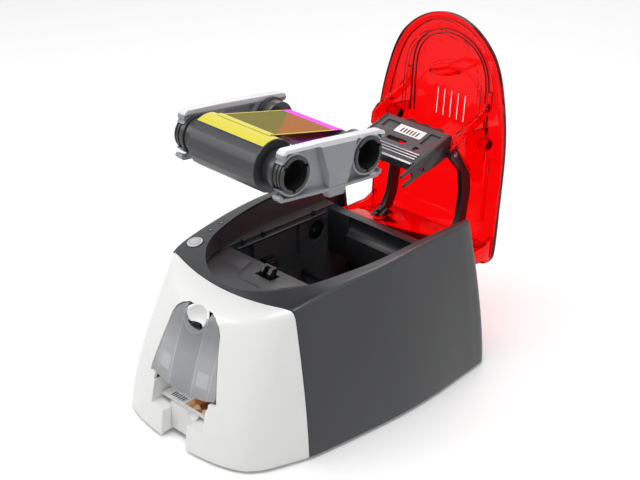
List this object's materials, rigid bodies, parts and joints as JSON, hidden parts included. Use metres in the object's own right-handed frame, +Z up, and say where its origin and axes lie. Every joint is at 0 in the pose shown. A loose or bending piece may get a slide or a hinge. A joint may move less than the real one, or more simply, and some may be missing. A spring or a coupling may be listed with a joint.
{
  "type": "id card printer",
  "caption": "Desktop card printer with a white front bezel, dark casing, clear red hinged lid carrying the print head, tilting card feeder cover and lift-out film cartridge.",
  "frame": {"origin": "middle of the width and of the open length, on the surface that the feet stand on", "axes": "+Z up; +X to the right seen from the front; the front with the card tray faces -Y; the lid hinge is at +Y"},
  "size_m": [0.206, 0.3386, 0.2968],
  "materials": {
    "casing_grey": "fine moulded texture, satin",
    "bezel_white": "smooth gloss",
    "foot_rubber": "matt",
    "plain_steel": "turned",
    "black_plastic": "satin",
    "board_green": "solder mask",
    "inner_grey": "satin",
    "inner_black": "satin",
    "card_white": "smooth laminate",
    "motor_steel": "drawn can",
    "bush_brass": "sintered",
    "button_grey": "satin",
    "lid_red": "clear tinted, polished",
    "head_grey": "satin",
    "head_strip": "plain",
    "plate_grey": "satin",
    "film_yellow": "clear tinted film",
    "spool_black": "satin",
    "film_dark": "wound film",
    "cover_smoke": "clear grey",
    "roller_rubber": "ground",
    "gear_white": "natural",
    "pinion_brass": "cut"
  },
  "bodies": {
    "printer_body": {"main_casing": "casing_grey", "front_bezel": "bezel_white", "base_plate": "casing_grey", "rubber_feet": "foot_rubber", "base_screws": "plain_steel", "rear_panel": "casing_grey", "dc_inlet": "black_plastic", "usb_port": "plain_steel", "control_board": "board_green", "bay_deck": "inner_grey", "left_side_frame": "inner_black", "right_side_frame": "inner_black", "bay_apron": "inner_grey", "cross_wall": "inner_black", "card_track": "inner_black", "card_hopper": "inner_grey", "output_tray": "bezel_white", "printed_card": "card_white", "drive_motor": "motor_steel", "roller_bushes": "bush_brass", "hinge_pins": "plain_steel", "gear_axles": "plain_steel", "film_sensor": "black_plastic", "indicator_rings": "button_grey", "button_switch": "board_green", "feeder_pins": "plain_steel", "catch_pin": "plain_steel"},
    "lid": {"lid_shell": "lid_red", "left_lid_arm": "black_plastic", "right_lid_arm": "black_plastic", "lid_striker": "black_plastic", "arm_screws": "plain_steel"},
    "print_head": {"head_carrier": "head_grey", "left_fork_plate": "head_grey", "right_fork_plate": "head_grey", "thermal_head": "head_strip", "head_label": "card_white", "head_pivot_pins": "plain_steel"},
    "cartridge": {"left_end_plate": "plate_grey", "right_end_plate": "plate_grey", "film_web": "film_yellow"},
    "supply_spool": {"supply_core": "spool_black", "supply_roll": "film_dark"},
    "takeup_spool": {"takeup_core": "spool_black", "takeup_roll": "film_dark"},
    "feeder_cover": {"feeder_cover": "cover_smoke"},
    "power_button": {"power_button": "button_grey"},
    "lid_catch": {"lid_catch": "black_plastic"},
    "platen": {"platen_roller": "roller_rubber", "platen_gear": "gear_white"},
    "feed": {"feed_roller": "roller_rubber", "feed_gear": "gear_white"},
    "idler": {"idler_gear": "gear_white"},
    "pinion": {"motor_pinion": "pinion_brass"},
    "takeup_drive": {"takeup_gear": "gear_white"},
    "cleaning": {"cleaning_roller": "roller_rubber"}
  },
  "joints": [
    {"name": "lid_hinge", "type": "hinge", "parent": "printer_body", "child": "lid", "pos_m": [0, 0.09879, 0.0974], "axis": [1, 0, 0], "range_deg": [0, 98.2]},
    {"name": "head_float", "type": "hinge", "parent": "lid", "child": "print_head", "pos_m": [0, 0.12236, 0.18665], "axis": [1, 0, 0], "range_deg": [-0.8, 0.8], "stiffness_Nm_per_rad": 2},
    {"name": "cartridge_lift", "type": "slide", "parent": "printer_body", "child": "cartridge", "axis": [0, -0.64, 0.7684], "range_m": [0, 0.2]},
    {"name": "supply_spool_spin", "type": "hinge", "parent": "cartridge", "child": "supply_spool", "pos_m": [0, -0.08791, 0.2382], "axis": [1, 0, 0], "continuous": true},
    {"name": "takeup_spool_spin", "type": "hinge", "parent": "cartridge", "child": "takeup_spool", "pos_m": [0, -0.0072, 0.23128], "axis": [1, 0, 0], "continuous": true},
    {"name": "feeder_cover_tilt", "type": "hinge", "parent": "printer_body", "child": "feeder_cover", "pos_m": [0, -0.14641, 0.06], "axis": [1, 0, 0], "range_deg": [0, 60]},
    {"name": "power_button_press", "type": "slide", "parent": "printer_body", "child": "power_button", "axis": [0, 0.225, -0.9744], "range_m": [0, 0.001], "stiffness_N_per_m": 400, "springref_m": -0.0005},
    {"name": "lid_catch_swing", "type": "hinge", "parent": "printer_body", "child": "lid_catch", "pos_m": [0, -0.06041, 0.107], "axis": [1, 0, 0], "range_deg": [0, 8], "stiffness_Nm_per_rad": 0.2, "springref_deg": -5.73},
    {"name": "platen_spin", "type": "hinge", "parent": "printer_body", "child": "platen", "pos_m": [0, 0.0215, 0.057], "axis": [1, 0, 0], "continuous": true},
    {"name": "idler_spin", "type": "hinge", "parent": "printer_body", "child": "idler", "pos_m": [0, -0.00577, 0.05], "axis": [1, 0, 0], "continuous": true},
    {"name": "feed_spin", "type": "hinge", "parent": "printer_body", "child": "feed", "pos_m": [0, -0.02466, 0.057], "axis": [1, 0, 0], "continuous": true},
    {"name": "pinion_spin", "type": "hinge", "parent": "printer_body", "child": "pinion", "pos_m": [0, 0.03209, 0.03709], "axis": [1, 0, 0], "continuous": true},
    {"name": "takeup_drive_spin", "type": "hinge", "parent": "printer_body", "child": "takeup_drive", "pos_m": [0, 0.05959, 0.096], "axis": [1, 0, 0], "continuous": true},
    {"name": "cleaning_spin", "type": "hinge", "parent": "printer_body", "child": "cleaning", "pos_m": [0, -0.04341, 0.0702], "axis": [1, 0, 0], "continuous": true}
  ],
  "couplings": [
    {"joint": "cartridge_lift", "follows": "lid_hinge", "m_per_rad": 0.11658},
    {"joint": "takeup_spool_spin", "follows": "supply_spool_spin", "ratio": 2},
    {"joint": "idler_spin", "follows": "platen_spin", "ratio": -1.3333},
    {"joint": "feed_spin", "follows": "platen_spin", "ratio": 2},
    {"joint": "pinion_spin", "follows": "platen_spin", "ratio": -2.5},
    {"joint": "cleaning_spin", "follows": "platen_spin", "ratio": -1.1667}
  ]
}
